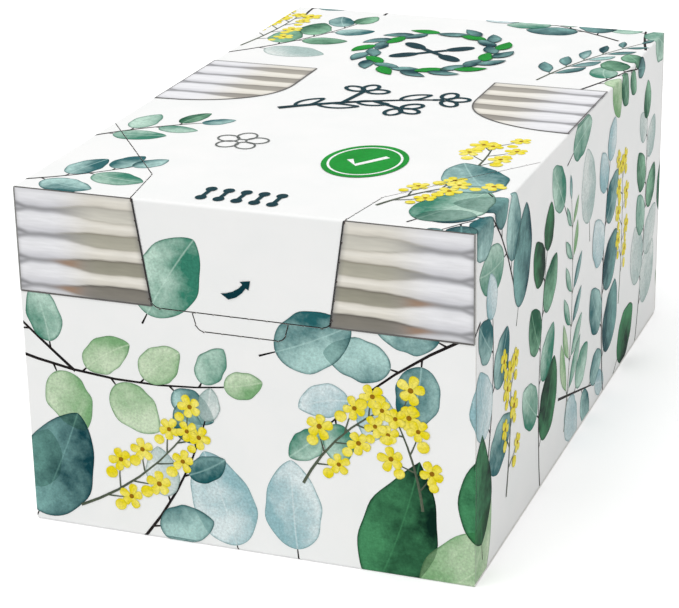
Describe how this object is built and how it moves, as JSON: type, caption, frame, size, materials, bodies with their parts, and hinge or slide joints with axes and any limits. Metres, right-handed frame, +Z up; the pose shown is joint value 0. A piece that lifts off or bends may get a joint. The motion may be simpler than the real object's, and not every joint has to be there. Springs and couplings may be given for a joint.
{
  "type": "cotton swab box",
  "caption": "Sealed folding carton of cotton swabs with glued ends, a perforated tear-open lid over the front and top, a thumb tab and a leafy watercolour-style print.",
  "frame": {"origin": "middle of the base, on the surface that the carton stands on", "axes": "+X to the right along the front, +Y from the front to the back along the carton's length, +Z up"},
  "size_m": [0.077, 0.125, 0.059],
  "materials": {
    "carton": "satin coated white board with a printed face"
  },
  "bodies": {
    "root": {"carton": "carton"}
  },
  "joints": []
}
